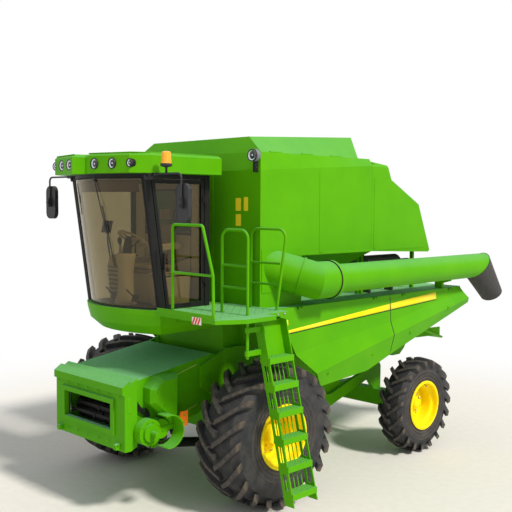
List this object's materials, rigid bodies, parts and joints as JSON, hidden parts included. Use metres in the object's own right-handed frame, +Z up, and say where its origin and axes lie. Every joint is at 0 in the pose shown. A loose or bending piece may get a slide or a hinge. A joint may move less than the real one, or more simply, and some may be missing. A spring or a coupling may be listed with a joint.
{
  "type": "combine harvester",
  "caption": "Self-propelled combine harvester with cab, grain tank, folded unloading tube, feeder house, lugged tyres and steered rear axle, without a cutting platform.",
  "frame": {"origin": "on the ground, midway along the machine and midway across all that stands out of it", "axes": "+Z up, -Y towards the front where the crop goes in, +X towards the machine's left side with the ladder and the unloading tube"},
  "size_m": [4.154, 7.0309, 4.77],
  "materials": {
    "green_paint": "gloss",
    "yellow_paint": "gloss",
    "tyre_rubber": "matt",
    "tinted_glass": "gloss",
    "black_paint": "satin",
    "dark_steel": "satin",
    "chrome_rod": "polished",
    "cab_trim": "matt",
    "lamp_glass": "gloss",
    "amber_plastic": "gloss",
    "black_plastic": "matt",
    "seat_fabric": "matt",
    "grey_plastic": "matt",
    "galvanised_steel": "satin",
    "spout_rubber": "matt",
    "red_plastic": "gloss"
  },
  "bodies": {
    "chassis": {"main_body": "green_paint", "deck_frame": "green_paint", "straw_hood": "green_paint", "chopper": "green_paint", "front_axle": "green_paint", "rear_axle": "green_paint", "cab_base": "green_paint", "cab_frame": "black_paint", "windscreen": "tinted_glass", "cab_rear_wall": "cab_trim", "cab_glass": "tinted_glass", "cab_roof": "green_paint", "work_lamps": "lamp_glass", "beacon": "amber_plastic", "mirrors": "black_plastic", "seat_base": "cab_trim", "seat_pads": "seat_fabric", "console": "grey_plastic", "steering": "cab_trim", "platform": "green_paint", "handrails": "green_paint", "grain_tank": "green_paint", "tank_extension": "green_paint", "tank_augers": "galvanised_steel", "engine_block": "dark_steel", "exhaust": "dark_steel", "engine_hood": "green_paint", "shield_hinges": "dark_steel", "auger_turret": "green_paint", "tube_cradle": "green_paint", "rear_lamps": "red_plastic", "rear_hitch": "green_paint"},
    "front_wheel_left": {"front_tyre_left": "tyre_rubber", "front_rim_left": "yellow_paint"},
    "front_wheel_right": {"front_tyre_right": "tyre_rubber", "front_rim_right": "yellow_paint"},
    "rear_wheel_left": {"rear_tyre_left": "tyre_rubber", "rear_rim_left": "yellow_paint"},
    "rear_wheel_right": {"rear_tyre_right": "tyre_rubber", "rear_rim_right": "yellow_paint"},
    "left_knuckle": {"knuckle_left": "green_paint"},
    "right_knuckle": {"knuckle_right": "green_paint"},
    "steering_link": {"tie_rod": "green_paint"},
    "feeder": {"feeder_house": "green_paint", "feeder_frame": "green_paint", "feeder_drive": "green_paint"},
    "drum": {"feeder_drum": "dark_steel"},
    "lift_cylinder": {"lift_barrels": "black_paint"},
    "lift_piston": {"lift_rods": "chrome_rod"},
    "door": {"cab_door": "black_paint", "door_glass": "tinted_glass"},
    "boarding_ladder": {"ladder": "green_paint"},
    "unloader": {"auger_tube": "green_paint", "auger_spout": "spout_rubber"},
    "front_left_shield": {"shield_front_left": "green_paint"},
    "rear_left_shield": {"shield_rear_left": "green_paint"},
    "front_right_shield": {"shield_front_right": "green_paint"},
    "rear_right_shield": {"shield_rear_right": "green_paint"},
    "cooling_screen": {"rotary_screen": "green_paint"}
  },
  "joints": [
    {"name": "front_wheel_left_spin", "type": "hinge", "parent": "chassis", "child": "front_wheel_left", "pos_m": [1.16, -1.708, 0.915], "axis": [1, 0, 0], "continuous": true},
    {"name": "front_wheel_right_spin", "type": "hinge", "parent": "chassis", "child": "front_wheel_right", "pos_m": [-1.7, -1.708, 0.915], "axis": [1, 0, 0], "continuous": true},
    {"name": "steer_left", "type": "hinge", "parent": "chassis", "child": "left_knuckle", "pos_m": [0.85, 1.612, 0.72], "axis": [0, 0, 1], "range_deg": [-35, 35]},
    {"name": "steer_right", "type": "hinge", "parent": "chassis", "child": "right_knuckle", "pos_m": [-1.39, 1.612, 0.72], "axis": [0, 0, 1], "range_deg": [-35.5, 35.5]},
    {"name": "tie_rod_swing", "type": "hinge", "parent": "left_knuckle", "child": "steering_link", "pos_m": [0.85, 1.842, 0.6953], "axis": [0, 0, 1], "range_deg": [-35.5, 35.5]},
    {"name": "rear_wheel_left_spin", "type": "hinge", "parent": "left_knuckle", "child": "rear_wheel_left", "pos_m": [1.16, 1.612, 0.72], "axis": [1, 0, 0], "continuous": true},
    {"name": "rear_wheel_right_spin", "type": "hinge", "parent": "right_knuckle", "child": "rear_wheel_right", "pos_m": [-1.7, 1.612, 0.72], "axis": [1, 0, 0], "continuous": true},
    {"name": "feeder_lift", "type": "hinge", "parent": "chassis", "child": "feeder", "pos_m": [-0.27, -2.058, 1.56], "axis": [-1, 0, 0], "range_deg": [-12, 17]},
    {"name": "feeder_drum_spin", "type": "hinge", "parent": "feeder", "child": "drum", "pos_m": [-0.27, -3.018, 1.13], "axis": [1, 0, 0], "continuous": true},
    {"name": "lift_cylinder_pivot", "type": "hinge", "parent": "chassis", "child": "lift_cylinder", "pos_m": [-0.27, -1.908, 0.64], "axis": [-1, 0, 0], "range_deg": [-8, 11.2]},
    {"name": "lift_piston_slide", "type": "slide", "parent": "lift_cylinder", "child": "lift_piston", "axis": [0, -0.9846, 0.175], "range_m": [-0.184, 0.26]},
    {"name": "door_swing", "type": "hinge", "parent": "chassis", "child": "door", "pos_m": [0.526, -2.174, 3.3], "axis": [0, 0, 1], "range_deg": [0, 55]},
    {"name": "ladder_swing", "type": "hinge", "parent": "chassis", "child": "boarding_ladder", "pos_m": [1.535, -2.408, 2.2], "axis": [0, 0, -1], "range_deg": [0, 90]},
    {"name": "unloader_swing", "type": "hinge", "parent": "chassis", "child": "unloader", "pos_m": [1.28451, -1.20831, 2.87176], "axis": [0.7432, 0.6146, -0.2644], "range_deg": [0, 110]},
    {"name": "front_left_shield_lift", "type": "hinge", "parent": "chassis", "child": "front_left_shield", "pos_m": [1.254, -0.438, 2.466], "axis": [0, -1, 0], "range_deg": [0, 75]},
    {"name": "rear_left_shield_lift", "type": "hinge", "parent": "chassis", "child": "rear_left_shield", "pos_m": [1.254, 1.792, 2.466], "axis": [0, -1, 0], "range_deg": [0, 75]},
    {"name": "front_right_shield_lift", "type": "hinge", "parent": "chassis", "child": "front_right_shield", "pos_m": [-1.794, -0.438, 2.466], "axis": [0, 1, 0], "range_deg": [0, 75]},
    {"name": "rear_right_shield_lift", "type": "hinge", "parent": "chassis", "child": "rear_right_shield", "pos_m": [-1.794, 1.792, 2.466], "axis": [0, 1, 0], "range_deg": [0, 75]},
    {"name": "cooling_screen_spin", "type": "hinge", "parent": "chassis", "child": "cooling_screen", "pos_m": [-1.667, 1.192, 3.54], "axis": [1, 0, 0], "continuous": true}
  ],
  "couplings": [
    {"joint": "steer_right", "follows": "steer_left", "ratio": 1},
    {"joint": "tie_rod_swing", "follows": "steer_left", "ratio": -1},
    {"joint": "lift_cylinder_pivot", "follows": "feeder_lift", "ratio": 0.6475},
    {"joint": "lift_piston_slide", "follows": "feeder_lift", "m_per_rad": 0.871}
  ]
}
